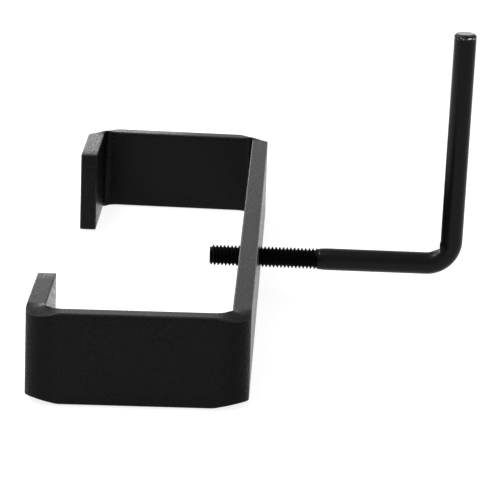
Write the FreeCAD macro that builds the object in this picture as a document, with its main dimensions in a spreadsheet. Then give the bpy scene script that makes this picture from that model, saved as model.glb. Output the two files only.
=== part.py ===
import FreeCAD, Part
import Sketcher
import math
import os

# Clamp-on headphone hook: a flat bar bent into a C that slips round an upright, and a bent rod that
# screws through the middle of the C's back plate. Millimetres, degrees. +X runs along the screw towards
# the hook, +Y along the back plate, +Z up. The assembly stands on the lower edge of the bar, and its
# origin is the middle of that footprint box, at the bottom.

SIZES = [
    ("bar_thickness", 6.6, "flat bar, coated"),
    ("bar_width", 31.9, "flat bar, coated, upright"),
    ("bar_edge_radius", 0.5, "rounding of the bar's four long edges"),
    ("bar_end_radius", 0.8, "rounding of the cut ends of the bar, top to bottom"),
    ("inside_bend_radius", 2.6, "inside radius of the bar's four bends"),
    ("bracket_depth", 76.2, "outer face of the back plate to outer face of the lips"),
    ("bracket_length", 279.4, "over both bends at the back plate"),
    ("arm_splay", 2.0, "how far each side arm opens past square"),
    ("mouth_width", 182.0, "clear opening between the ends of the lips"),
    ("thread_pitch", 1.411, "5/16 inch, 18 threads per inch"),
    ("thread_major", 7.98, "outside of the screw thread"),
    ("thread_fit", 0.05, "gap between the screw thread and the tapped hole, square to the flank"),
    ("screw_inside", 19.0, "outer face of the back plate to the screw's tip"),
    ("thread_outside", 22.8, "outer face of the back plate to the end of the thread"),
    ("thread_runout", 3.6, "taper from the thread to the plain shank"),
    ("tip_chamfer", 0.9, "chamfer at the screw's tip"),
    ("rod_diameter", 8.4, "plain rod, coated"),
    ("rod_bend_radius", 9.3, "centre line of the rod's bend"),
    ("corner_rise", 0.85, "how far the pressed inside corner of the bend stands above the shank"),
    ("corner_ease", 0.15, "how far the pressed corner's upright side eases off the hook arm"),
    ("hook_reach", 72.8, "outer face of the back plate to the hook arm's centre line at the screw axis"),
    ("hook_height", 89.5, "screw axis to the top of the hook arm"),
    ("arm_lean", 0.9, "how far the hook arm leans outwards"),
    ("arm_chamfer", 0.9, "chamfer at the top of the hook arm"),
    ("countersink_width", 9.6, "mouth of the tapped hole at the outer face"),
    ("groove_overcut", 0.12, "how far a thread groove's profile stands clear of the metal it cuts"),
    ("core_diameter", 3.6, "inner core of the shank, which carries the sliding half of the screw motion"),
    ("core_start", 34.0, "outer face of the back plate to the core"),
    ("core_length", 20.0, "length of the core"),
    ("core_gap", 0.05, "gap all round the core"),
]
SIZE = {alias: value for alias, value, note in SIZES}

# Shares of the pitch in a 60 degree unified thread: half the flat on a crest, half the space between two
# crests, and how deep the screw and the tapped hole are cut. The hole's crests clear the screw's roots.
CREST = "dims.thread_pitch / 16"
SPACE = "dims.thread_pitch * 7 / 16"
SCREW_DEPTH = "0.6134 * dims.thread_pitch"
TAPPED_DEPTH = "0.5413 * dims.thread_pitch"
MAJOR = "dims.thread_major / 2"
TAPPED_RADIUS = "(%s - %s + dims.thread_fit)" % (MAJOR, TAPPED_DEPTH)

# Where the plain rod begins, and how far before the corner of the shank and the hook arm its bend begins.
PLAIN_START = "(dims.thread_outside + dims.thread_runout)"
BEND_SETBACK = "dims.rod_bend_radius * tan(45 deg - dims.arm_lean / 2 * 1 deg)"

START, END, CENTRE = 1, 2, 3

# Two heights or places closer than this, in millimetres, count as the same.
SAME_PLACE = 1e-4


def new_document():
    doc = FreeCAD.newDocument("headphone_hook")
    sheet = doc.addObject("Spreadsheet::Sheet", "dims")
    for row, (alias, value, note) in enumerate(SIZES, start=1):
        sheet.set("A%d" % row, alias)
        sheet.set("B%d" % row, str(value))
        sheet.set("C%d" % row, note)
        sheet.setAlias("B%d" % row, alias)
    doc.recompute()
    return doc


def place_on_screw_axis(part, further_along=""):
    """The sub-parts are drawn about the screw axis, with x = 0 at the back plate's outer face."""
    part.setExpression(
        "Placement.Base.x",
        "(dims.bracket_depth - dims.hook_reach"
        " - (dims.hook_height - dims.arm_chamfer) * sin(dims.arm_lean * 1 deg)"
        " - dims.rod_diameter / 2 * cos(dims.arm_lean * 1 deg)) / 2" + further_along,
    )
    part.setExpression("Placement.Base.z", "dims.bar_width / 2")


def origin_feature(body, role):
    return next(f for f in body.Origin.OriginFeatures if f.Role == role)


def new_sketch(body, name, plane):
    sketch = body.newObject("Sketcher::SketchObject", name)
    sketch.AttachmentSupport = [(origin_feature(body, plane), "")]
    sketch.MapMode = "FlatFace"
    return sketch


def vec(x, y):
    return FreeCAD.Vector(x, y, 0)


def line(x1, y1, x2, y2):
    return Part.LineSegment(vec(x1, y1), vec(x2, y2))


def arc(cx, cy, radius, start, end):
    circle = Part.Circle(vec(cx, cy), FreeCAD.Vector(0, 0, 1), radius)
    return Part.ArcOfCircle(circle, math.radians(start), math.radians(end))


def value_of(part, expression):
    value = part.evalExpression(expression)
    return float(getattr(value, "Value", value))


def bind(sketch, kind, *where_and_expression):
    """Adds one dimension whose value comes from the sheet."""
    *where, expression = where_and_expression
    value = value_of(sketch, expression)
    if kind == "Angle":
        value = math.radians(value)
    index = sketch.addConstraint(Sketcher.Constraint(kind, *where, value))
    sketch.setExpression("Constraints[%d]" % index, expression)


def pin_point(sketch, shape, end, x, y):
    """Ties one point of a sketch to its coordinates, each an expression in the sheet's sizes."""
    for axis, kind, expression in ((-2, "DistanceX", x), (-1, "DistanceY", y)):
        value = value_of(sketch, expression)
        if value > 0:
            bind(sketch, kind, -1, 1, shape, end, expression)
        elif value < 0:
            bind(sketch, kind, shape, end, -1, 1, "-(%s)" % expression)
        else:
            sketch.addConstraint(Sketcher.Constraint("PointOnObject", shape, end, axis))


def draw_polygon(sketch, corners):
    points = [(value_of(sketch, x), value_of(sketch, y)) for x, y in corners]
    for start, stop in zip(points, points[1:] + points[:1]):
        sketch.addGeometry(line(*start, *stop), False)
    for side, (x, y) in enumerate(corners):
        before = (side - 1) % len(corners)
        sketch.addConstraint(Sketcher.Constraint("Coincident", before, END, side, START))
        pin_point(sketch, side, START, x, y)


def draw_chain(sketch, shapes, closed=False):
    """Lines and arcs that run into each other smoothly, each drawn from its start to its end."""
    for shape in shapes:
        sketch.addGeometry(shape, False)
    last = len(shapes)
    for first in range(last if closed else last - 1):
        sketch.addConstraint(Sketcher.Constraint("Tangent", first, END, (first + 1) % last, START))


def require_cut(feature):
    """Recomputes, and makes sure that a cutting feature really took material away."""
    feature.Document.recompute()
    if feature.Shape.Volume >= feature.BaseFeature.Shape.Volume:
        raise RuntimeError(feature.Label + " cut nothing")


def revolve(body, kind, name, corners):
    """A profile of (x, radius) corners turned about the screw axis, added or taken away."""
    sketch = new_sketch(body, name + "_profile", "XZ_Plane")
    draw_polygon(sketch, corners)
    turned = body.newObject("PartDesign::" + kind, name)
    turned.Profile = (sketch, [""])
    turned.ReferenceAxis = (origin_feature(body, "X_Axis"), [""])
    turned.Angle = 360
    return turned


def wind_groove(body, name, start, stop, mouth, root):
    """A V groove wound right-handed about the screw axis. Its centre is at x = start on the upper side,
    and mouth and root each give a radius and half the groove's width there."""
    sketch = new_sketch(body, name + "_profile", "XZ_Plane")
    draw_polygon(sketch, [
        ("%s - (%s)" % (start, mouth[1]), mouth[0]),
        ("%s - (%s)" % (start, root[1]), root[0]),
        ("%s + (%s)" % (start, root[1]), root[0]),
        ("%s + (%s)" % (start, mouth[1]), mouth[0]),
    ])
    groove = body.newObject("PartDesign::SubtractiveHelix", name)
    groove.Profile = (sketch, [""])
    groove.ReferenceAxis = (origin_feature(body, "X_Axis"), [""])
    groove.Mode = "pitch-height-angle"
    groove.setExpression("Pitch", "dims.thread_pitch")
    groove.setExpression("Height", "%s - (%s)" % (stop, start))
    require_cut(groove)


def bar_path(body):
    """The bar's centre line: lip, arm, back plate, arm, lip, with a tangent arc at each bend."""
    thick, inner = SIZE["bar_thickness"], SIZE["inside_bend_radius"]
    outer, mid = inner + thick, inner + thick / 2
    splay = math.radians(SIZE["arm_splay"])
    plate_y = SIZE["bracket_length"] / 2 - outer
    lip_y = plate_y + (SIZE["bracket_depth"] - 2 * outer) * math.tan(splay)
    plate_x, lip_x = -outer, outer - SIZE["bracket_depth"]
    side = (mid * math.sin(splay), mid * math.cos(splay))
    tip = SIZE["mouth_width"] / 2
    angle = SIZE["arm_splay"]
    sketch = new_sketch(body, "bar_path", "XY_Plane")
    draw_chain(sketch, [
        line(lip_x - mid, -tip, lip_x - mid, -lip_y),
        arc(lip_x, -lip_y, mid, 180, 270 + angle),
        line(lip_x + side[0], -lip_y - side[1], plate_x + side[0], -plate_y - side[1]),
        arc(plate_x, -plate_y, mid, 270 + angle, 360),
        line(plate_x + mid, -plate_y, plate_x + mid, plate_y),
        arc(plate_x, plate_y, mid, 0, 90 - angle),
        line(plate_x + side[0], plate_y + side[1], lip_x + side[0], lip_y + side[1]),
        arc(lip_x, lip_y, mid, 90 - angle, 180),
        line(lip_x - mid, lip_y, lip_x - mid, tip),
    ])
    front_lip, front_bend, front_arm, front_corner, plate, back_corner, back_arm, back_bend, back_lip = range(9)
    for straight in (front_lip, plate, back_lip):
        sketch.addConstraint(Sketcher.Constraint("Vertical", straight))
    bind(sketch, "Radius", front_bend, "dims.inside_bend_radius + dims.bar_thickness / 2")
    for bend in (front_corner, back_corner, back_bend):
        sketch.addConstraint(Sketcher.Constraint("Equal", front_bend, bend))
    bind(sketch, "Angle", front_arm, "dims.arm_splay * 1 deg")
    bind(sketch, "Angle", back_arm, "180 deg - dims.arm_splay * 1 deg")
    bind(sketch, "DistanceX", plate, START, -1, 1, "dims.bar_thickness / 2")
    bind(sketch, "DistanceX", front_lip, END, -1, 1, "dims.bracket_depth - dims.bar_thickness / 2")
    bind(sketch, "DistanceX", back_lip, START, -1, 1, "dims.bracket_depth - dims.bar_thickness / 2")
    bind(sketch, "DistanceY", front_lip, START, -1, 1, "dims.mouth_width / 2")
    bind(sketch, "DistanceY", -1, 1, back_lip, END, "dims.mouth_width / 2")
    corner = "dims.bracket_length / 2 - dims.inside_bend_radius - dims.bar_thickness"
    bind(sketch, "DistanceY", front_corner, CENTRE, -1, 1, corner)
    bind(sketch, "DistanceY", -1, 1, back_corner, CENTRE, corner)
    return sketch


def bar_section(body):
    """The bar's rounded rectangle, standing across the front lip's end."""
    half_t, half_w, r = SIZE["bar_thickness"] / 2, SIZE["bar_width"] / 2, SIZE["bar_edge_radius"]
    x = half_t - SIZE["bracket_depth"]
    left, right = x - half_t, x + half_t
    sketch = new_sketch(body, "bar_section", "XZ_Plane")
    sketch.setExpression("AttachmentOffset.Base.z", "dims.mouth_width / 2")
    draw_chain(sketch, [
        line(left + r, -half_w, right - r, -half_w),
        arc(right - r, r - half_w, r, 270, 360),
        line(right, r - half_w, right, half_w - r),
        arc(right - r, half_w - r, r, 0, 90),
        line(right - r, half_w, left + r, half_w),
        arc(left + r, half_w - r, r, 90, 180),
        line(left, half_w - r, left, r - half_w),
        arc(left + r, r - half_w, r, 180, 270),
    ], closed=True)
    bottom, first_corner, inner_side, second_corner, top, third_corner, outer_side, fourth_corner = range(8)
    for level in (bottom, top):
        sketch.addConstraint(Sketcher.Constraint("Horizontal", level))
    for upright in (inner_side, outer_side):
        sketch.addConstraint(Sketcher.Constraint("Vertical", upright))
    bind(sketch, "Radius", first_corner, "dims.bar_edge_radius")
    for corner in (second_corner, third_corner, fourth_corner):
        sketch.addConstraint(Sketcher.Constraint("Equal", first_corner, corner))
    bind(sketch, "DistanceX", outer_side, START, -1, 1, "dims.bracket_depth")
    bind(sketch, "DistanceX", inner_side, START, -1, 1, "dims.bracket_depth - dims.bar_thickness")
    bind(sketch, "DistanceY", bottom, START, -1, 1, "dims.bar_width / 2")
    bind(sketch, "DistanceY", -1, 1, top, START, "dims.bar_width / 2")
    return sketch


def edges_where(shape, test):
    """The names of a shape's edges whose middle and both ends pass the test."""
    names = []
    for index, edge in enumerate(shape.Edges, start=1):
        middle = edge.valueAt((edge.FirstParameter + edge.LastParameter) / 2)
        if all(test(point) for point in [middle] + [vertex.Point for vertex in edge.Vertexes]):
            names.append("Edge%d" % index)
    if not names:
        raise RuntimeError("no edge found on " + str(shape))
    return names


def make_bracket(doc):
    body = doc.addObject("PartDesign::Body", "bracket")
    path = bar_path(body)
    section = bar_section(body)
    bar = body.newObject("PartDesign::AdditivePipe", "bent_bar")
    bar.Profile = (section, [""])
    bar.Spine = (path, [""])
    bar.Mode = "Frenet"
    doc.recompute()
    round_bar_ends(body, bar)
    drill_and_tap(body)
    place_on_screw_axis(body)
    return body


def round_bar_ends(body, bar):
    tip_y = value_of(body, "dims.mouth_width / 2")
    ends = body.newObject("PartDesign::Fillet", "rounded_ends")
    ends.Base = (bar, edges_where(bar.Shape, lambda point: abs(abs(point.y) - tip_y) < SAME_PLACE))
    ends.setExpression("Radius", "dims.bar_end_radius")
    body.Document.recompute()


def drill_and_tap(body):
    """A countersunk hole, and a groove in it half a pitch out of step with the screw's, so that the
    hole's crests run in the screw's grooves."""
    spot = new_sketch(body, "hole_centre", "YZ_Plane")
    spot.addGeometry(Part.Circle(vec(0, 0), FreeCAD.Vector(0, 0, 1), value_of(spot, TAPPED_RADIUS)), False)
    spot.addConstraint(Sketcher.Constraint("Coincident", 0, CENTRE, -1, 1))
    bind(spot, "Radius", 0, TAPPED_RADIUS)
    body.Document.recompute()
    hole = body.newObject("PartDesign::Hole", "drilled_hole")
    hole.Profile = (spot, [""])
    hole.ThreadType = "None"
    hole.DepthType = "ThroughAll"
    hole.setExpression("Diameter", "2 * " + TAPPED_RADIUS)
    hole.HoleCutType = "Countersink"
    hole.setExpression("HoleCutDiameter", "dims.countersink_width")
    hole.HoleCutCountersinkAngle = 90
    require_cut(hole)
    start = "-(ceil(dims.bar_thickness / dims.thread_pitch) + 1.5) * dims.thread_pitch"
    clear = "dims.thread_fit / cos(30 deg)"
    mouth_radius = "(%s - dims.groove_overcut)" % TAPPED_RADIUS
    mouth_half = "%s + (%s - %s) * tan(30 deg) + %s" % (CREST, MAJOR, mouth_radius, clear)
    root_radius = MAJOR + " + dims.thread_fit"
    root_half = "%s - dims.thread_fit * tan(30 deg) + %s" % (CREST, clear)
    wind_groove(body, "tapped_thread", start, "dims.thread_pitch",
                (mouth_radius, mouth_half), (root_radius, root_half))


def make_hook_rod(doc):
    body = doc.addObject("PartDesign::Body", "hook_rod")
    screw_blank(body)
    bend_plain_rod(body)
    press_inside_corner(body)
    chamfer_hook_arm(body)
    groove_start = "-ceil(dims.screw_inside / dims.thread_pitch + 1) * dims.thread_pitch"
    wind_groove(body, "screw_thread", groove_start, "dims.thread_outside",
                (MAJOR + " + dims.groove_overcut", SPACE + " + dims.groove_overcut * tan(30 deg)"),
                ("%s - %s" % (MAJOR, SCREW_DEPTH), "%s - %s * tan(30 deg)" % (SPACE, SCREW_DEPTH)))
    revolve(body, "Groove", "core_space", [
        ("dims.core_start", "0"),
        ("dims.core_start", "dims.core_diameter / 2 + dims.core_gap"),
        ("dims.core_start + dims.core_length", "dims.core_diameter / 2 + dims.core_gap"),
        ("dims.core_start + dims.core_length", "0"),
    ])
    require_cut(body.Tip)
    place_on_screw_axis(body)
    return body


def screw_blank(body):
    """The screw end before threading, with its tip chamfer and the taper up to the plain rod."""
    tip = "-dims.screw_inside"
    revolve(body, "Revolution", "screw_blank", [
        (tip, "0"),
        (tip, MAJOR + " - dims.tip_chamfer"),
        (tip + " + dims.tip_chamfer", MAJOR),
        ("dims.thread_outside", MAJOR),
        (PLAIN_START, "dims.rod_diameter / 2"),
        (PLAIN_START, "0"),
    ])
    body.Document.recompute()


def bend_plain_rod(body):
    """The plain rod swept along the shank, round the bend and up the hook arm."""
    lean, radius = SIZE["arm_lean"], SIZE["rod_bend_radius"]
    start = SIZE["thread_outside"] + SIZE["thread_runout"]
    setback = radius * math.tan(math.radians(90 - lean) / 2)
    bend_x = SIZE["hook_reach"] - setback
    side = (math.cos(math.radians(lean)), math.sin(math.radians(lean)))
    foot = (bend_x + radius * side[0], radius - radius * side[1])
    height = SIZE["hook_height"]
    path = new_sketch(body, "rod_path", "XZ_Plane")
    draw_chain(path, [
        line(start, 0, bend_x, 0),
        arc(bend_x, radius, radius, 270, 360 - lean),
        line(*foot, foot[0] + height * side[1], foot[1] + height * side[0]),
    ])
    shank, bend, arm = range(3)
    path.addConstraint(Sketcher.Constraint("PointOnObject", shank, START, -1))
    path.addConstraint(Sketcher.Constraint("Horizontal", shank))
    bind(path, "DistanceX", -1, 1, shank, START, PLAIN_START)
    bind(path, "Radius", bend, "dims.rod_bend_radius")
    bind(path, "DistanceX", -1, 1, bend, CENTRE, "dims.hook_reach - " + BEND_SETBACK)
    bind(path, "Angle", arm, "90 deg - dims.arm_lean * 1 deg")
    bind(path, "DistanceY", -1, 1, arm, END, "dims.hook_height * cos(dims.arm_lean * 1 deg)")
    section = new_sketch(body, "rod_section", "YZ_Plane")
    section.setExpression("AttachmentOffset.Base.z", PLAIN_START)
    section.addGeometry(Part.Circle(vec(0, 0), FreeCAD.Vector(0, 0, 1), SIZE["rod_diameter"] / 2), False)
    section.addConstraint(Sketcher.Constraint("Coincident", 0, CENTRE, -1, 1))
    bind(section, "Radius", 0, "dims.rod_diameter / 2")
    rod = body.newObject("PartDesign::AdditivePipe", "plain_rod")
    rod.Profile = (section, [""])
    rod.Spine = (path, [""])
    rod.Mode = "Frenet"
    body.Document.recompute()


def press_inside_corner(body):
    """The inside of the bend is pressed flat and sharp, by a wedge that rises a little from the shank to
    the corner and eases off the hook arm above it."""
    bend_start = "(dims.hook_reach - %s)" % BEND_SETBACK
    arm_side = "(dims.hook_reach - dims.rod_diameter / 2)"
    wedge = new_sketch(body, "corner_wedge", "XZ_Plane")
    draw_polygon(wedge, [
        (bend_start, "dims.rod_diameter / 2"),
        (arm_side, "dims.rod_diameter / 2 + dims.corner_rise"),
        (arm_side + " - dims.corner_ease", "dims.rod_bend_radius"),
        (bend_start, "dims.rod_bend_radius"),
    ])
    pressed = body.newObject("PartDesign::Pocket", "pressed_corner")
    pressed.Profile = (wedge, [""])
    pressed.SideType = "Symmetric"
    pressed.setExpression("Length", "2 * dims.rod_diameter")
    require_cut(pressed)


def chamfer_hook_arm(body):
    top = value_of(body, "dims.hook_height * cos(dims.arm_lean * 1 deg)")
    slope = value_of(body, "dims.rod_diameter / 2 * sin(dims.arm_lean * 1 deg)")
    rod = body.Tip
    end = body.newObject("PartDesign::Chamfer", "chamfered_end")
    end.Base = (rod, edges_where(rod.Shape, lambda point: abs(point.z - top) < slope + SAME_PLACE))
    end.setExpression("Size", "dims.arm_chamfer")
    body.Document.recompute()


def make_screw_core(doc):
    """The inner core of the shank. It fills the space left for it, less a gap all round."""
    core = doc.addObject("Part::Cylinder", "screw_core")
    core.Placement.Rotation = FreeCAD.Rotation(FreeCAD.Vector(0, 1, 0), 90)
    core.setExpression("Radius", "dims.core_diameter / 2")
    core.setExpression("Height", "dims.core_length - 2 * dims.core_gap")
    place_on_screw_axis(core, " + dims.core_start + dims.core_gap")
    return core


def check(doc, parts):
    """Stops if any object of the document failed or any sub-part isn't one sound solid."""
    for item in doc.Objects:
        if "Invalid" in item.State or "Error" in item.State:
            raise RuntimeError("%s failed: %s" % (item.Label, item.State))
    for part in parts:
        if part.Shape.isNull() or not part.Shape.isValid() or len(part.Shape.Solids) != 1:
            raise RuntimeError(part.Label + " isn't one sound solid")


def main():
    doc = new_document()
    parts = [make_bracket(doc), make_hook_rod(doc), make_screw_core(doc)]
    doc.recompute()
    check(doc, parts)
    os.makedirs("parts", exist_ok=True)
    for part in parts:
        part.Shape.exportStep("parts/%s.step" % part.Label)


if __name__ == "__main__":
    main()
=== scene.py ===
"""Clamp-on headphone hook: a bent flat bar and the threaded, bent rod that screws through it."""
from math import atan2, cos, hypot, pi, radians, sin, tan

import bmesh
import bpy
from bpy.props import FloatProperty, FloatVectorProperty, PointerProperty
from mathutils import Matrix, Vector


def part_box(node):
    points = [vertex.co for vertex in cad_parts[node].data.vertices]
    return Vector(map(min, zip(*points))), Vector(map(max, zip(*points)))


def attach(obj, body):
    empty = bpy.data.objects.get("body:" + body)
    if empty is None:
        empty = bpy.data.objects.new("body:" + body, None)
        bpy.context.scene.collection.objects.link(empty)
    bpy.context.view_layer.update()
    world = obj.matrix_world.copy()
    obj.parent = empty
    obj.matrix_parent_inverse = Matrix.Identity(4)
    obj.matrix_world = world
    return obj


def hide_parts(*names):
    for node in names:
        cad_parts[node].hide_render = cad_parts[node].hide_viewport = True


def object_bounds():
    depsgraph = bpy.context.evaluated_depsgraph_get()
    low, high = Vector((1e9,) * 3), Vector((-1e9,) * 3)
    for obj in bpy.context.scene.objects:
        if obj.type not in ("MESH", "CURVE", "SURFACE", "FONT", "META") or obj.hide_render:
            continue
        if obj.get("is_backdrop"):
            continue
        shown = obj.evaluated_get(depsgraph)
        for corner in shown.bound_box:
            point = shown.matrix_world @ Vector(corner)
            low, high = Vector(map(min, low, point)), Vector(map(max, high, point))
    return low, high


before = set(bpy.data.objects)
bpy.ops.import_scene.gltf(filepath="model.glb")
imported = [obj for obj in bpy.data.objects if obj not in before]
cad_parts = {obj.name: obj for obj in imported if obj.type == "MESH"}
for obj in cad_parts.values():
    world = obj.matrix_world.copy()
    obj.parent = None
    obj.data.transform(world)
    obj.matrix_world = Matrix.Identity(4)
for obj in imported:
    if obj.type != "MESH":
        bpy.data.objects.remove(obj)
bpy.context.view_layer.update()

bl_info = {
    "name": "Clamp-on headphone hook",
    "version": (1, 0, 0),
    "blender": (4, 5, 0),
    "location": "3D View > Sidebar > Hook",
    "description": "Builds the bent bar, the threaded hook rod and a small studio around them",
    "category": "Object",
}

MM = 0.001
BAR_LOW, BAR_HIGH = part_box("bracket")
ROD_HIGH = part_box("hook_rod")[1]
PLATE_X = BAR_HIGH.x
SCREW_Z = (BAR_LOW.z + BAR_HIGH.z) / 2

# Points nearer to each other than this are one point.
MERGE = 0.004 * MM


# ---------------------------------------------------------------- sizes and colours

def length(name, default, description):
    return FloatProperty(name=name, default=default, description=description, unit="LENGTH", precision=5)


def angle(name, degrees, description):
    return FloatProperty(name=name, default=radians(degrees), description=description, subtype="ANGLE")


def share(name, default, description):
    return FloatProperty(name=name, default=default, min=0, max=1, description=description, subtype="FACTOR")


def colour(name, default, description):
    return FloatVectorProperty(
        name=name, default=default, min=0, max=1, description=description, size=3, subtype="COLOR")


def point(name, default, description):
    return FloatVectorProperty(
        name=name, default=default, description=description, size=3, unit="LENGTH", subtype="TRANSLATION",
        precision=5)


class BarSizes(bpy.types.PropertyGroup):
    thickness: length("Thickness", 6.6 * MM, "Flat bar, over its coat")
    width: length("Width", BAR_HIGH.z - BAR_LOW.z, "Height of the bar as it stands")
    depth: length("Depth", BAR_HIGH.x - BAR_LOW.x, "Back plate's outer face to the lips' outer faces")
    span: length("Length", 279.4 * MM, "Over both bends at the back plate")
    mouth: length("Mouth", 182 * MM, "Clear opening between the lips' ends")
    inside_radius: length("Inside bend radius", 2.6 * MM, "Inside radius of the four bends")
    splay: angle("Splay", 2, "How far each arm opens past square")
    edge_radius: length("Edge radius", 0.5 * MM, "Rounding of the long edges")
    end_radius: length("End radius", 0.8 * MM, "Rounding of the cut ends")
    dip: length("Bend dip", 1.55 * MM, "How far the edges sink on the outside of a bend")
    bulge: length("Bend bulge", 0.75 * MM, "How far the edges swell on the inside of a bend")
    spread: length("Bend spread", 3.5 * MM, "How far the dip and the bulge reach past a bend")
    countersink: length("Countersink", 9.6 * MM, "Mouth of the tapped hole at the outer face")
    broken_edge: length("Broken edge", 0.12 * MM, "How far the tapped hole's inner edge is broken")


class RodSizes(bpy.types.PropertyGroup):
    diameter: length("Diameter", 8.4 * MM, "Plain rod, over its coat")
    thread_major: length("Thread diameter", 7.98 * MM, "Over the thread's crests")
    pitch: length("Pitch", 1.411 * MM, "Advance of the screw for each turn")
    thread_gap: length("Thread gap", 0.05 * MM, "Between the screw's flanks and the tapped hole's")
    inside: length("Screw inside", 19 * MM, "Back plate's outer face to the screw's tip")
    outside: length("Thread outside", 22.8 * MM, "Back plate's outer face to the thread's end")
    runout: length("Run-out", 3.6 * MM, "Taper from the thread to the plain shank")
    tip_chamfer: length("Tip chamfer", 0.9 * MM, "Chamfer at the screw's tip")
    bend_radius: length("Bend radius", 9.3 * MM, "Centre line of the bend")
    reach: length("Reach", 72.8 * MM, "Back plate's outer face to the arm's centre line")
    height: length("Height", 89.5 * MM, "Screw axis to the top of the arm")
    lean: angle("Lean", 0.9, "How far the arm leans outwards")
    arm_chamfer: length("Arm chamfer", 0.9 * MM, "Chamfer at the top of the arm")
    corner_rise: length("Corner rise", 0.85 * MM, "How far the pressed inside corner stands above the shank")
    corner_ease: length("Corner ease", 0.15 * MM, "How far the pressed corner eases off the arm")


class Finishes(bpy.types.PropertyGroup):
    bar_coat: colour("Bar coat", (0.0022, 0.0022, 0.0023), "Black powder coat")
    bar_roughness: share("Bar roughness", 0.32, "Satin of the powder coat")
    rod_coat: colour("Rod coat", (0.0016, 0.0016, 0.0017), "Smooth black coat")
    rod_roughness: share("Rod roughness", 0.27, "Gloss of the smooth coat")
    # Also the colour of the painted highlight along the bar's edges, and of the painted reflection and
    # painted glints at the arm's cut end.
    steel: colour("Steel", (0.42, 0.41, 0.4), "Bare steel where the coat has worn off")


class StageSizes(bpy.types.PropertyGroup):
    turn: angle("Turn", 1.022, "How far the view swings from straight on")
    tilt: angle("Tilt", 15.018, "How far the view looks down")
    roll: angle("Roll", 1.955, "How far the view leans")
    distance: length("Distance", 1.05133, "From the camera to its aim")
    aim: point("Aim", (-2.875 * MM, -45.404 * MM, 30.593 * MM), "From the foot of the plate's outer face")
    lens: FloatProperty(
        name="Lens", default=206.958, description="Focal length, on a 36 mm camera back", unit="CAMERA")
    floor_size: length("Floor", 14, "Side of the floor")
    floor_colour: colour("Floor colour", (0.3, 0.3, 0.3), "Frosted sheet over the light table")
    floor_glow: share("Floor glow", 0.85, "How bright the light table shines through the floor")
    room_glow: share("Room glow", 0.75, "How bright the white room is")


def settings():
    return bpy.context.scene.headphone_hook


# ---------------------------------------------------------------- mesh helpers

def verts_of(edges):
    return list({vert for edge in edges for vert in edge.verts})


def extend(bm, loop, move, steps=1):
    """Extrudes an edge loop along a straight run and returns its far loop."""
    for _ in range(steps):
        made = bmesh.ops.extrude_edge_only(bm, edges=loop)["geom"]
        fresh = {item for item in made if isinstance(item, bmesh.types.BMVert)}
        bmesh.ops.translate(bm, verts=list(fresh), vec=move / steps)
        edges = [item for item in made if isinstance(item, bmesh.types.BMEdge)]
        loop = [edge for edge in edges if fresh.issuperset(edge.verts)]
    return loop


def turn(bm, loop, centre, axis, sweep, steps):
    """Spins an edge loop about an axis and returns its far loop."""
    made = bmesh.ops.spin(
        bm, geom=loop + verts_of(loop), cent=centre, axis=axis, angle=sweep, steps=steps,
        use_merge=False, use_duplicate=False)["geom_last"]
    return [item for item in made if isinstance(item, bmesh.types.BMEdge)]


def resize(bm, loop, centre, factors):
    """Scales a loop about a point, by one factor for each direction."""
    bmesh.ops.scale(bm, verts=verts_of(loop), vec=factors, space=Matrix.Translation(-centre))


def close(bm, loop):
    bmesh.ops.holes_fill(bm, edges=loop, sides=0)


def open_edges(bm):
    return [edge for edge in bm.edges if edge.is_boundary]


def shade(bm, limit):
    """Smooth faces, with a crisp edge wherever two of them meet at more than the limit."""
    for face in bm.faces:
        face.smooth = True
    for edge in bm.edges:
        edge.smooth = len(edge.link_faces) == 2 and edge.calc_face_angle(0) < limit


def make_piece(bm, name, materials, body, node):
    """Turns a finished bmesh into a piece of the object and ties it to the frame."""
    mesh = bpy.data.meshes.new(name)
    bm.to_mesh(mesh)
    bm.free()
    for material in materials:
        mesh.materials.append(material)
    piece = bpy.data.objects.new(name, mesh)
    bpy.context.scene.collection.objects.link(piece)
    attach(piece, body)
    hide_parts(node)
    return piece


def smooth_step(low, high, value):
    t = min(max((value - low) / (high - low), 0), 1)
    return t * t * (3 - 2 * t)


# ---------------------------------------------------------------- thread

THREAD_SIDES = 48

# Depths of a 60 degree unified thread, as shares of its pitch.
SCREW_DEPTH = 0.6134
TAPPED_DEPTH = 0.5413

# Turns wound into the tapped hole, and how many of them reach out past the plate, to be cut off there.
TAPPED_TURNS = 9
TURNS_PAST_PLATE = 2

# Whole turns wound past each end of the screw, to be cut off there.
SPARE_TURNS = 3

# How far before its end the screw's thread starts to fade, and how far past it the fade ends, in pitches.
FADE_BEFORE = 1.6
FADE_PAST = 0.4


def wind(bm, profile, pitch, start, turns):
    """Winds one pitch of a thread's profile, (share of the pitch, radius) from groove to groove, into a
    right-handed sheet about the screw axis. The groove is at x = start on the upper side."""
    line = [bm.verts.new((start + part * pitch, 0, SCREW_Z + radius)) for part, radius in profile]
    edges = [bm.edges.new(pair) for pair in zip(line, line[1:])]
    bmesh.ops.spin(
        bm, geom=line + edges, cent=(0, 0, SCREW_Z), axis=(1, 0, 0), dvec=(pitch / THREAD_SIDES, 0, 0),
        angle=2 * pi * turns, steps=THREAD_SIDES * turns, use_merge=False, use_duplicate=False)
    bmesh.ops.remove_doubles(bm, verts=bm.verts, dist=MERGE)


def set_radius(bm, radius_at):
    """Moves every vertex straight in or out to the radius that a function of its x and radius gives."""
    for vert in bm.verts:
        up = vert.co.z - SCREW_Z
        radius = hypot(vert.co.y, up)
        factor = radius_at(vert.co.x, radius) / radius
        vert.co.y *= factor
        vert.co.z = SCREW_Z + up * factor


def cut_across(bm, x, keep_right):
    """Cuts the sheet square to the screw axis and drops one side."""
    bmesh.ops.bisect_plane(
        bm, geom=bm.verts[:] + bm.edges[:] + bm.faces[:], dist=MERGE / 4, plane_co=(x, 0, SCREW_Z),
        plane_no=(1, 0, 0), clear_inner=keep_right, clear_outer=not keep_right)


def loop_at(bm, x):
    return [edge for edge in open_edges(bm) if all(abs(vert.co.x - x) < MERGE for vert in edge.verts)]


# ---------------------------------------------------------------- bar

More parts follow.
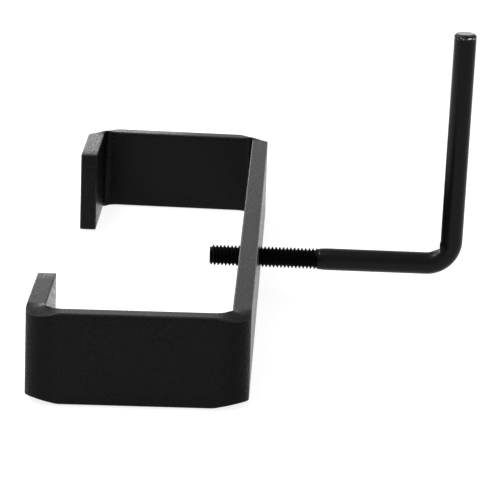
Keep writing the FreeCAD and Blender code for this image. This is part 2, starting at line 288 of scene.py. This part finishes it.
# Rows up the bar's side, those of them that the hole's window takes, and columns over its edge.
BAR_ROWS = 24
PATCH_ROWS = 12
BAR_COLUMNS = 10

# Steps round a bend, beside it, along the rest of a straight run, round a cut end and over a long edge.
BEND_STEPS = 26
NEAR_BEND = 7 * MM
NEAR_STEPS = 7
FAR_STEPS = 4
END_STEPS = 6
EDGE_STEPS = 4

# How fast the bulge and the dip die away through the bar's thickness and towards its middle height.
BULGE_FALL = 1.6
DIP_FALL = 1.4
EDGE_FALL = 3

# Faces that meet at more than this have a crisp edge between them.
BAR_CREASE = radians(32)


def bar_section(bm, size, centre):
    """The bar's rounded rectangle, standing across the front lip, with its sides divided."""
    made = bmesh.ops.create_grid(bm, x_segments=1, y_segments=1, size=0.5)["verts"]
    bmesh.ops.scale(bm, verts=made, vec=(size.thickness, size.width, 1))
    bmesh.ops.rotate(bm, verts=made, cent=(0, 0, 0), matrix=Matrix.Rotation(pi / 2, 3, "X"))
    bmesh.ops.translate(bm, verts=made, vec=centre)
    bmesh.ops.bevel(
        bm, geom=made, offset=size.edge_radius, offset_type="OFFSET", affect="VERTICES", segments=EDGE_STEPS,
        profile=0.5, material=-1)
    bmesh.ops.delete(bm, geom=bm.faces[:], context="FACES_ONLY")
    upright = [edge for edge in bm.edges if edge.calc_length() > size.width / 2]
    level = [edge for edge in bm.edges if size.width / 2 > edge.calc_length() > size.thickness / 2]
    bmesh.ops.subdivide_edges(bm, edges=upright, cuts=BAR_ROWS - 1)
    bmesh.ops.subdivide_edges(bm, edges=level, cuts=BAR_COLUMNS - 1)
    return bm.edges[:]


def round_end(bm, loop, size, centre, heading):
    """Closes the bar's cut end with a quarter round all the way about it."""
    half_t, half_w = size.thickness / 2, size.width / 2
    inset, ahead = 0, 0
    for step in range(1, END_STEPS + 1):
        around = step / END_STEPS * pi / 2
        next_inset, next_ahead = size.end_radius * (1 - cos(around)), size.end_radius * sin(around)
        loop = extend(bm, loop, Vector((0, heading * (next_ahead - ahead), 0)))
        resize(bm, loop, centre, (
            (half_t - next_inset) / (half_t - inset), 1, (half_w - next_inset) / (half_w - inset)))
        inset, ahead = next_inset, next_ahead
    close(bm, loop)


def straight(bm, loop, direction, distance):
    """A straight run between two bends, with short steps beside each."""
    loop = extend(bm, loop, direction * NEAR_BEND, NEAR_STEPS)
    loop = extend(bm, loop, direction * (distance - 2 * NEAR_BEND), FAR_STEPS)
    return extend(bm, loop, direction * NEAR_BEND, NEAR_STEPS)


def bend_centres(size):
    """The axes of the four bends: front lip, front of the plate, back of the plate, back lip."""
    outer = size.inside_radius + size.thickness
    plate = Vector((PLATE_X - outer, size.span / 2 - outer, 0))
    lip_x = PLATE_X - size.depth + outer
    lip = Vector((lip_x, plate.y + (plate.x - lip_x) * tan(size.splay), 0))
    mirror = Vector((1, -1, 1))
    return [lip * mirror, plate * mirror, plate, lip]


def sweep_bar(bm, size):
    """Lip, arm, plate, arm, lip, with a bend at each corner. Returns the width of the hole's window."""
    front_lip, front, back, back_lip = bend_centres(size)
    middle = size.inside_radius + size.thickness / 2
    tip = size.mouth / 2 + size.end_radius
    up = Vector((0, 0, 1))
    start = Vector((front_lip.x - middle, -tip, SCREW_Z))
    loop = bar_section(bm, size, start)
    round_end(bm, loop, size, start, 1)
    arm_length = (front.x - front_lip.x) / cos(size.splay)
    patch = (size.width - 2 * size.edge_radius) * PATCH_ROWS / BAR_ROWS
    lip_length = back_lip.y - tip
    loop = extend(bm, loop, Vector((0, -(lip_length - NEAR_BEND), 0)), FAR_STEPS)
    loop = extend(bm, loop, Vector((0, -NEAR_BEND, 0)), NEAR_STEPS)
    loop = turn(bm, loop, front_lip, up, pi / 2 + size.splay, BEND_STEPS)
    loop = straight(bm, loop, Vector((cos(size.splay), sin(size.splay), 0)), arm_length)
    loop = turn(bm, loop, front, up, pi / 2 - size.splay, BEND_STEPS)
    loop = straight(bm, loop, Vector((0, 1, 0)), back.y - patch / 2)
    loop = extend(bm, loop, Vector((0, patch, 0)), PATCH_ROWS)
    loop = straight(bm, loop, Vector((0, 1, 0)), back.y - patch / 2)
    loop = turn(bm, loop, back, up, pi / 2 - size.splay, BEND_STEPS)
    loop = straight(bm, loop, Vector((-cos(size.splay), sin(size.splay), 0)), arm_length)
    loop = turn(bm, loop, back_lip, up, pi / 2 + size.splay, BEND_STEPS)
    loop = extend(bm, loop, Vector((0, -NEAR_BEND, 0)), NEAR_STEPS)
    loop = extend(bm, loop, Vector((0, -(lip_length - NEAR_BEND), 0)), FAR_STEPS)
    round_end(bm, loop, size, Vector((back_lip.x - middle, tip, SCREW_Z)), -1)
    return patch


def tapped_wall(size, rod):
    """The tapped hole's wall as a sheet of its own: countersink, thread, and a broken inner edge."""
    bm = bmesh.new()
    pitch = rod.pitch
    crest = rod.thread_major / 2 - TAPPED_DEPTH * pitch + rod.thread_gap
    root = rod.thread_major / 2 + rod.thread_gap
    start = PLATE_X - (TAPPED_TURNS - TURNS_PAST_PLATE) * pitch + pitch / 2
    profile = [(0, root), (0.06, root), (0.4, crest), (0.6, crest), (0.94, root), (1, root)]
    wind(bm, profile, pitch, start, TAPPED_TURNS)
    inner = PLATE_X - size.thickness
    broken_edge = root + size.broken_edge

    def flare(x, radius):
        radius = max(radius, size.countersink / 2 + (x - PLATE_X))
        return max(radius, broken_edge - (x - inner))

    set_radius(bm, flare)
    cut_across(bm, PLATE_X, keep_right=False)
    cut_across(bm, inner, keep_right=True)
    return bm


def open_hole(bm, size, rod, patch):
    """Cuts a square window in both faces of the plate and joins each to the tapped hole's wall."""
    half = patch / 2
    window = [
        face for face in bm.faces
        if abs(face.normal.x) > 0.99 and abs(face.calc_center_median().y) < half
        and abs(face.calc_center_median().z - SCREW_Z) < half
        and face.calc_center_median().x > PLATE_X - 1.5 * size.thickness]
    bmesh.ops.delete(bm, geom=window, context="FACES")
    wall = tapped_wall(size, rod)
    mesh = bpy.data.meshes.new("tapped_wall")
    wall.to_mesh(mesh)
    wall.free()
    bm.from_mesh(mesh)
    bpy.data.meshes.remove(mesh)
    for face_x in (PLATE_X, PLATE_X - size.thickness):
        bmesh.ops.bridge_loops(bm, edges=loop_at(bm, face_x))


def mark_edges(bm, size):
    """Keeps, in the attribute named worn, which points lie on the bar's rounded edges and cut ends. The
    powder coat lightens them there, partly as wear and partly as a painted highlight.
    """
    worn = bm.verts.layers.float.new("worn")
    for vert in bm.verts:
        above = abs(vert.co.z - SCREW_Z) - (size.width / 2 - size.edge_radius)
        near_end = PLATE_X - vert.co.x > size.depth - size.thickness - MM
        past = size.mouth / 2 + size.end_radius - abs(vert.co.y) if near_end else 0
        vert[worn] = min(max(above / size.edge_radius, past / size.end_radius, 0), 1)


def swell_bends(bm, size):
    """Sinks the bar's edges on the outside of each bend and swells them on the inside. The attribute named
    worked keeps how hard each point was worked."""
    worked = bm.verts.layers.float.new("worked")
    middle_x = (BAR_LOW.x + PLATE_X) / 2
    half_arc = pi / 4 * (size.inside_radius + size.thickness / 2)
    for centre in bend_centres(size):
        toward_x, toward_y = (1 if centre.x > middle_x else -1), (1 if centre.y > 0 else -1)
        for vert in bm.verts:
            x, y = (vert.co.x - centre.x) * toward_x, (vert.co.y - centre.y) * toward_y
            if min(x, y) < -size.spread:
                continue
            radius = hypot(max(x, 0), max(y, 0))
            around = atan2(max(y, 0), max(x, 0))
            away = abs(around - pi / 4) / (pi / 4) * half_arc + max(-x, -y, 0)
            strength = cos(min(away / (half_arc + size.spread), 1) * pi / 2) ** 2
            depth = min(max((radius - size.inside_radius) / size.thickness, 0), 1)
            rise = size.bulge * (1 - depth) ** BULGE_FALL - size.dip * depth ** DIP_FALL
            height = (vert.co.z - SCREW_Z) / (size.width / 2)
            vert.co.z += strength * rise * abs(height) ** EDGE_FALL * (1 if height > 0 else -1)
            vert[worked] = max(vert[worked], strength * depth)


# ---------------------------------------------------------------- rod

# Steps along the shank, round the bend and up the arm.
SHANK_STEPS = 24
ROD_BEND_STEPS = 30
ARM_STEPS = 60

# How much the pressed metal of the bend swells sideways.
PRESSED_SWELL = 1.06

ROD_CREASE = radians(40)

# How far the cut end's finish, with its painted sheen and glints, reaches down the arm, in chamfers, and the
# plain one into the thread, in pitches.
END_FINISH_REACH = 2.2
PLAIN_REACH = 0.4


def screw_end(bm, rod):
    """The threaded end of the rod, from its chamfered tip to where the thread dies into the shank."""
    crest = rod.thread_major / 2
    root = crest - SCREW_DEPTH * rod.pitch
    soft = 0.05 * rod.pitch
    profile = [
        (0, root), (0.07, root), (0.12, root + soft), (0.405, crest - soft), (0.45, crest),
        (0.55, crest), (0.595, crest - soft), (0.88, root + soft), (0.93, root), (1, root)]
    before = int(rod.inside / rod.pitch) + SPARE_TURNS
    turns = before + int((rod.outside + rod.runout) / rod.pitch) + SPARE_TURNS
    wind(bm, profile, rod.pitch, PLATE_X - before * rod.pitch, turns)
    tip_x, end_x = PLATE_X - rod.inside, PLATE_X + rod.outside
    plain_x = end_x + rod.runout

    def worn_in(x, radius):
        fade = smooth_step(end_x - FADE_BEFORE * rod.pitch, end_x + FADE_PAST * rod.pitch, x)
        blank = crest + (rod.diameter / 2 - crest) * smooth_step(end_x - rod.pitch, plain_x, x)
        radius += (blank - radius) * fade
        return min(radius, max(crest - rod.tip_chamfer + (x - tip_x), root / 2))

    set_radius(bm, worn_in)
    cut_across(bm, tip_x, keep_right=True)
    cut_across(bm, plain_x, keep_right=False)
    close(bm, loop_at(bm, tip_x))
    return loop_at(bm, plain_x), plain_x


def bend_rod(bm, loop, rod, start_x):
    """The shank, the bend and the upright arm with its chamfered end."""
    setback = rod.bend_radius * tan((pi / 2 - rod.lean) / 2)
    bend_x = PLATE_X + rod.reach - setback
    loop = extend(bm, loop, Vector((bend_x - start_x, 0, 0)), SHANK_STEPS)
    centre = Vector((bend_x, 0, SCREW_Z + rod.bend_radius))
    loop = turn(bm, loop, centre, (0, -1, 0), pi / 2 - rod.lean, ROD_BEND_STEPS)
    upright = Vector((sin(rod.lean), 0, cos(rod.lean)))
    loop = extend(bm, loop, upright * (rod.height - setback - rod.arm_chamfer), ARM_STEPS)
    return loop, upright


def press_corner(bm, rod):
    """Presses the inside of the bend against a wedge, which leaves it flat and sharp, and lets the metal
    swell sideways there."""
    setback = rod.bend_radius * tan((pi / 2 - rod.lean) / 2)
    centre = Vector((PLATE_X + rod.reach - setback, SCREW_Z + rod.bend_radius))
    radius = rod.diameter / 2
    corner = Vector((PLATE_X + rod.reach - radius, SCREW_Z + radius + rod.corner_rise))
    slope = rod.corner_rise / (corner.x - centre.x)
    ease = rod.corner_ease / (centre.y - corner.y)
    pressed = []
    for vert in bm.verts:
        across, down = vert.co.x - centre.x, centre.y - vert.co.z
        if across <= 0 or down <= 0:
            continue
        floor = (centre.y - SCREW_Z - radius) / (down + slope * across)
        side = (corner.x - centre.x - ease * (centre.y - corner.y)) / max(across - ease * down, MERGE)
        reach = min(floor, side)
        if reach > 1:
            vert.co.x = centre.x + across * reach
            vert.co.z = centre.y - down * reach
            pressed.append(vert)
    bmesh.ops.smooth_vert(bm, verts=pressed, factor=0.5, use_axis_x=True, use_axis_z=True)
    bmesh.ops.scale(bm, verts=pressed, vec=(1, PRESSED_SWELL, 1))


def top_arm(bm, loop, rod, upright):
    """The chamfered top of the arm, its two corners slightly rounded."""
    radius, chamfer = rod.diameter / 2, rod.arm_chamfer
    soft = 0.18 * chamfer
    top = Vector((PLATE_X + rod.reach, 0, SCREW_Z)) + upright * rod.height
    # How far in and how far up each ring of the chamfer lies, from its foot.
    rings = [(0, -1.35 * soft), (0.25 * soft, -0.5 * soft)]
    rings += [(chamfer * part, chamfer * part) for part in (0.25, 0.5, 0.75)]
    rings += [(chamfer + 0.3 * soft, chamfer - 0.25 * soft), (chamfer + soft, chamfer)]
    # The cut face itself, divided by two rings inside its rim.
    rings += [(radius * (1 - part), chamfer) for part in (0.6, 0.25)]
    tilt = upright.rotation_difference(Vector((0, 0, 1))).to_matrix().to_4x4()
    reached, inset = 0, 0
    for next_inset, rise in rings:
        loop = extend(bm, loop, upright * (rise - reached))
        factor = (radius - next_inset) / (radius - inset)
        centre = top + upright * (rise - chamfer)
        bmesh.ops.scale(
            bm, verts=verts_of(loop), vec=(factor, factor, 1), space=tilt @ Matrix.Translation(-centre))
        reached, inset = rise, next_inset
    close(bm, loop)


# ---------------------------------------------------------------- materials

class Value:
    """A shader socket that sums and products can be written with."""

    def __init__(self, finish, socket):
        self.finish, self.socket = finish, socket

    def maths(self, operation, first, second):
        return self.finish.node("Math", {"operation": operation}, {0: first, 1: second})

    def __add__(self, other):
        return self.maths("ADD", self, other)

    def __sub__(self, other):
        return self.maths("SUBTRACT", self, other)

    def __mul__(self, other):
        return self.maths("MULTIPLY", self, other)

    def __rsub__(self, other):
        return self.maths("SUBTRACT", other, self)

    def __gt__(self, other):
        return self.maths("GREATER_THAN", self, other)

    __radd__, __rmul__ = __add__, __mul__


class Finish:
    """A material under construction."""

    def __init__(self, name, roughness, ior):
        self.material = bpy.data.materials.new(name)
        self.material.use_nodes = True
        self.tree = self.material.node_tree
        self.shader = self.tree.nodes["Principled BSDF"]
        self.shader.inputs["Roughness"].default_value = roughness
        self.shader.inputs["IOR"].default_value = ior
        self.place = self.node("TexCoord", output="Object")

    def node(self, kind, options=None, inputs=None, output=0):
        """Adds a node, sets its options first and then the values or links of its inputs."""
        made = self.tree.nodes.new("ShaderNode" + kind)
        for name, value in (options or {}).items():
            setattr(made, name, value)
        for name, value in (inputs or {}).items():
            self.feed(made.inputs[name], value)
        return Value(self, made.outputs[output])

    def feed(self, socket, value):
        if isinstance(value, Value):
            self.tree.links.new(value.socket, socket)
        else:
            socket.default_value = value

    def set(self, **inputs):
        for name, value in inputs.items():
            self.feed(self.shader.inputs[name.replace("_", " ")], value)

    def noise(self, size, detail=2, stretch=None):
        """Soft noise whose grains are about the given size."""
        place = self.place
        if stretch:
            place = self.node("Mapping", None, {"Vector": place, "Scale": stretch})
        return self.node(
            "TexNoise", None, {"Vector": place, "Scale": 1 / size, "Detail": detail, "Roughness": 0.55})

    def spots(self, spacing, radius, share_of_cells):
        """1 inside small round spots, scattered one to a cell in a share of the cells."""
        cells = {"Vector": self.place, "Scale": 1 / spacing, "Randomness": 1}
        reach = self.node("TexVoronoi", None, cells, "Distance")
        pick = self.node("SeparateColor", None, {"Color": self.node("TexVoronoi", None, cells, "Color")})
        inside = self.ramp(reach, radius / spacing, radius / spacing * 0.4)
        return inside * (pick > 1 - share_of_cells)

    def ramp(self, value, low, high):
        """0 at low, 1 at high, smooth between."""
        return self.node(
            "MapRange", {"interpolation_type": "SMOOTHSTEP"},
            {"Value": value, "From Min": low, "From Max": high, "To Min": 0, "To Max": 1})

    def blend(self, factor, first, second):
        """A colour between two, by a factor. The numbers are the Mix node's factor and colour sockets."""
        return self.node("Mix", {"data_type": "RGBA"}, {0: factor, 6: first, 7: second}, output=2)

    def attribute(self, name):
        return self.node("Attribute", {"attribute_name": name}, output="Fac")

    def bump(self, height, distance):
        self.set(Normal=self.node("Bump", None, {"Height": height, "Distance": distance}))


def rgba(values, factor=1.0):
    return (*(channel * factor for channel in values), 1)


def powder_coat(look):
    """Fine-textured black powder coat, pebbly where the bar was bent, with a few pits. Along its rounded
    edges it is lightened towards steel, partly as edge wear and partly as a painted highlight."""
    finish = Finish("powder_coat", look.bar_roughness, ior=1.18)
    grain = finish.noise(0.8 * MM, detail=5)
    peel = finish.noise(1.5 * MM, detail=2)
    cloud = finish.noise(14 * MM, detail=3)
    pits = finish.spots(9 * MM, 0.5 * MM, 0.12)
    worked = finish.attribute("worked")
    pebbles = finish.noise(0.9 * MM, detail=2)
    height = grain * 0.6 + peel * 0.35 + pebbles * worked * 7 - pits * 4
    finish.bump(height, 0.07 * MM)
    speck = finish.ramp(grain, 0.35, 0.65)
    coat = finish.blend(speck * 0.8 + cloud * 0.2, rgba(look.bar_coat, 0.1), rgba(look.bar_coat, 2.2))
    worn = finish.attribute("worn")
    # Lighter along the middle of each rounded edge and cut end: partly edge wear, partly a painted
    # highlight.
    wear_and_sheen = worn * (1 - worn) * (0.4 + cloud) * 4
    coat = finish.blend(wear_and_sheen, coat, rgba(look.steel, 0.045))
    finish.set(
        Base_Color=finish.blend(pits, coat, rgba(look.bar_coat, 0.2)),
        Roughness=look.bar_roughness - 0.16 + speck * 0.24 + cloud * 0.06 + worked * 0.36 + pits * 0.3)
    return finish.material


def smooth_coat(look):
    """Smooth black coat, satin gloss, worn through in places round the arm's cut end."""
    finish = Finish("smooth_coat", look.rod_roughness, ior=1.22)
    grain = finish.noise(0.5 * MM, detail=2)
    ripple = finish.noise(3 * MM, detail=2)
    specks = finish.spots(11 * MM, 0.35 * MM, 0.1)
    height = grain * 0.25 + ripple * 0.9 + specks
    finish.bump(height, 0.02 * MM)
    coat = finish.blend(ripple, rgba(look.rod_coat, 0.8), rgba(look.rod_coat, 1.3))
    finish.set(
        Base_Color=finish.blend(specks * 0.4, coat, rgba(look.steel, 0.3)),
        Roughness=look.rod_roughness - 0.04 + ripple * 0.08)
    return finish.material


def thread_coat(look):
    """The same black on the thread, where it lies dull and thick."""
    finish = Finish("thread_coat", 0.4, ior=1.14)
    grain = finish.noise(0.4 * MM, detail=2)
    finish.bump(grain, 0.012 * MM)
    finish.set(
        Base_Color=finish.blend(grain, rgba(look.rod_coat, 0.3), rgba(look.rod_coat, 0.8)),
        Roughness=0.34 + grain * 0.12)
    return finish.material


def worn_and_sheen_coat(look, top):
    """The arm's cut end: a lightened top over a rough chamfer, with bright steel spots just under it. The
    top is partly steel showing through the coat and partly a painted reflection; the spots are partly
    chipped coat and partly painted glints.
    """
    finish = Finish("worn_and_sheen_coat", look.rod_roughness, ior=1.25)
    height = finish.node("SeparateXYZ", None, {"Vector": finish.place}, "Z")
    face = finish.ramp(height, top - 0.25 * MM, top - 0.1 * MM)
    # A band just under the chamfer, with bright steel spots in it: partly chipped coat, partly painted
    # glints.
    ring = finish.ramp(height, top - 1.8 * MM, top - 1.55 * MM) * (1 - finish.ramp(
        height, top - 1.3 * MM, top - 1.05 * MM))
    chip_and_glint_noise = finish.ramp(finish.noise(2.2 * MM, detail=2), 0.52, 0.58)
    blotch = finish.noise(0.7 * MM, detail=3)
    dents = finish.noise(1.1 * MM, stretch=(1, 1, 1.8))
    finish.bump(dents * (1 - face) * 2.2 + blotch * 0.3, 0.2 * MM)
    # Bright steel spots in that band: partly chipped coat, partly painted glints.
    chipped_and_glint_spots = ring * chip_and_glint_noise
    scuffs = finish.ramp(blotch, 0.5, 0.62)
    coat = finish.blend(scuffs, rgba(look.rod_coat, 0.1), rgba(look.steel, 0.12))
    # The top face lightened towards steel: partly steel showing through the coat, partly a painted
    # reflection.
    wear_and_sheen = finish.blend(face * (0.75 + blotch * 0.5), coat, rgba(look.steel, 0.62))
    finish.set(
        Base_Color=finish.blend(chipped_and_glint_spots, wear_and_sheen, rgba(look.steel, 1.4)),
        Metallic=chipped_and_glint_spots * 0.6, Roughness=0.26 + blotch * 0.12 + chipped_and_glint_spots * 0.1)
    return finish.material


def drawn_steel(look):
    """Plain drawn steel."""
    finish = Finish("drawn_steel", 0.35, ior=1.5)
    lines = finish.noise(0.2 * MM, stretch=(0.03, 1, 1))
    finish.bump(lines, 0.01 * MM)
    finish.set(
        Base_Color=finish.blend(lines, rgba(look.steel, 0.85), rgba(look.steel, 1.1)),
        Metallic=1.0, Roughness=0.28 + lines * 0.15)
    return finish.material


# ---------------------------------------------------------------- stage

# How far the floor lies below the object's lowest point.
FLOOR_GAP = 0.02 * MM

# Width of the camera's back, in millimetres.
CAMERA_BACK = 36

# Each lamp's name, place, aim, size and power, in metres and watts.
LAMPS = (
    ("overhead_lamp", (-0.5, -0.2, 1.3), (0, 0, 0), (1.2, 0.8), 3),
    ("back_lamp", (-0.17, 0.45, 0.1), (-0.07, 0.1, 0.03), (0.24, 0.08), 0.13),
    ("left_lamp", (-0.33, 0.02, 0.35), (-0.2, -0.02, 0), (0.2, 0.4), 3),
)


def lay_floor(scene, stage):
    """A frosted white sheet, lit a little from below."""
    bm = bmesh.new()
    bmesh.ops.create_grid(bm, x_segments=1, y_segments=1, size=stage.floor_size / 2)
    bmesh.ops.translate(bm, verts=bm.verts, vec=(0, 0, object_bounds()[0].z - FLOOR_GAP))
    mesh = bpy.data.meshes.new("floor")
    bm.to_mesh(mesh)
    bm.free()
    sheet = Finish("pale_floor", 0.9, ior=1.3)
    sheet.set(
        Base_Color=rgba(stage.floor_colour), Emission_Color=rgba((1, 1, 1)),
        Emission_Strength=stage.floor_glow)
    mesh.materials.append(sheet.material)
    floor = bpy.data.objects.new("floor", mesh)
    scene.collection.objects.link(floor)
    floor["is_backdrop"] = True


def hang_lamp(scene, name, place, aim, size, power):
    """A soft rectangular lamp that the camera doesn't see."""
    lamp = bpy.data.lights.new(name, "AREA")
    lamp.shape = "RECTANGLE"
    lamp.size, lamp.size_y = size
    lamp.energy = power
    hung = bpy.data.objects.new(name, lamp)
    hung.location = place
    hung.rotation_euler = (Vector(aim) - hung.location).to_track_quat("-Z", "Y").to_euler()
    hung.visible_camera = False
    scene.collection.objects.link(hung)


def light_room(scene, stage):
    """An even white room, with soft lamps overhead, low behind the lips and over the floor on the left."""
    world = bpy.data.worlds.new("white_room")
    world.use_nodes = True
    back = world.node_tree.nodes["Background"]
    back.inputs["Color"].default_value = (1, 1, 1, 1)
    back.inputs["Strength"].default_value = stage.room_glow
    scene.world = world
    for lamp in LAMPS:
        hang_lamp(scene, *lamp)


def place_camera(scene, stage):
    """A long lens, looking down a little at the side of the bracket."""
    aim = Vector((PLATE_X, 0, 0)) + Vector(stage.aim)
    ahead = Vector((-sin(stage.turn) * cos(stage.tilt), cos(stage.turn) * cos(stage.tilt), -sin(stage.tilt)))
    data = bpy.data.cameras.new("camera")
    data.sensor_width = CAMERA_BACK
    data.lens = stage.lens
    camera = bpy.data.objects.new("camera", data)
    camera.rotation_mode = "QUATERNION"
    level = ahead.to_track_quat("-Z", "Y")
    camera.rotation_quaternion = level @ Matrix.Rotation(stage.roll, 3, "Z").to_quaternion()
    camera.location = aim - ahead * stage.distance
    scene.collection.objects.link(camera)
    scene.camera = camera


# ---------------------------------------------------------------- operators

class HOOK_OT_bracket(bpy.types.Operator):
    """Bend the flat bar into its C and tap the hole through the plate"""
    bl_idname = "hook.bracket"
    bl_label = "Bracket"

    def execute(self, context):
        sizes = settings()
        bm = bmesh.new()
        patch = sweep_bar(bm, sizes.bar)
        bm.normal_update()
        open_hole(bm, sizes.bar, sizes.rod, patch)
        bmesh.ops.remove_doubles(bm, verts=bm.verts, dist=MERGE)
        mark_edges(bm, sizes.bar)
        swell_bends(bm, sizes.bar)
        bmesh.ops.recalc_face_normals(bm, faces=bm.faces)
        if open_edges(bm):
            raise RuntimeError("the bracket isn't closed")
        shade(bm, BAR_CREASE)
        make_piece(bm, "bent_bar", [powder_coat(sizes.look)], "bracket", "bracket")
        return {"FINISHED"}


class HOOK_OT_rod(bpy.types.Operator):
    """Thread and bend the hook rod, and chamfer its upright end"""
    bl_idname = "hook.rod"
    bl_label = "Hook rod"

    def execute(self, context):
        sizes = settings()
        bm = bmesh.new()
        loop, start_x = screw_end(bm, sizes.rod)
        loop, upright = bend_rod(bm, loop, sizes.rod, start_x)
        top_arm(bm, loop, sizes.rod, upright)
        press_corner(bm, sizes.rod)
        bmesh.ops.remove_doubles(bm, verts=bm.verts, dist=MERGE / 4)
        bmesh.ops.recalc_face_normals(bm, faces=bm.faces)
        if open_edges(bm):
            raise RuntimeError("the rod isn't closed")
        shade(bm, ROD_CREASE)
        coats = [smooth_coat(sizes.look), thread_coat(sizes.look), worn_and_sheen_coat(sizes.look, ROD_HIGH.z)]
        thread_end = PLATE_X + sizes.rod.outside - PLAIN_REACH * sizes.rod.pitch
        arm_end = ROD_HIGH.z - END_FINISH_REACH * sizes.rod.arm_chamfer
        for face in bm.faces:
            middle = face.calc_center_median()
            face.material_index = 1 if middle.x < thread_end else 2 if middle.z > arm_end else 0
        make_piece(bm, "threaded_hook", coats, "hook", "hook_rod")
        return {"FINISHED"}


class HOOK_OT_core(bpy.types.Operator):
    """Give the rod's inner core its steel"""
    bl_idname = "hook.core"
    bl_label = "Core"

    def execute(self, context):
        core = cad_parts["screw_core"]
        core.data.materials.clear()
        core.data.materials.append(drawn_steel(settings().look))
        return {"FINISHED"}


class HOOK_OT_stage(bpy.types.Operator):
    """Lay the floor, hang the lights and place the camera"""
    bl_idname = "hook.stage"
    bl_label = "Stage"

    def execute(self, context):
        stage = settings().stage
        lay_floor(context.scene, stage)
        light_room(context.scene, stage)
        place_camera(context.scene, stage)
        context.scene.view_settings.view_transform = "Standard"
        return {"FINISHED"}


# ---------------------------------------------------------------- settings, panel and start

class HeadphoneHook(bpy.types.PropertyGroup):
    bar: PointerProperty(type=BarSizes, name="Bar", description="Sizes of the bent bar")
    rod: PointerProperty(type=RodSizes, name="Rod", description="Sizes of the threaded rod")
    look: PointerProperty(type=Finishes, name="Finishes", description="Colours and gloss")
    stage: PointerProperty(type=StageSizes, name="Stage", description="Floor, room and camera")


class HOOK_PT_panel(bpy.types.Panel):
    bl_label = "Headphone hook"
    bl_idname = "HOOK_PT_panel"
    bl_space_type = "VIEW_3D"
    bl_region_type = "UI"
    bl_category = "Hook"

    def draw(self, context):
        for operator in STEPS:
            self.layout.operator(operator.bl_idname)


STEPS = (HOOK_OT_bracket, HOOK_OT_rod, HOOK_OT_core, HOOK_OT_stage)
CLASSES = (BarSizes, RodSizes, Finishes, StageSizes, HeadphoneHook, *STEPS, HOOK_PT_panel)


def register():
    for item in CLASSES:
        bpy.utils.register_class(item)
    bpy.types.Scene.headphone_hook = PointerProperty(type=HeadphoneHook)


def unregister():
    del bpy.types.Scene.headphone_hook
    for item in reversed(CLASSES):
        bpy.utils.unregister_class(item)


def main():
    register()
    bpy.ops.hook.bracket()
    bpy.ops.hook.rod()
    bpy.ops.hook.core()
    bpy.ops.hook.stage()


if __name__ == "__main__":
    main()
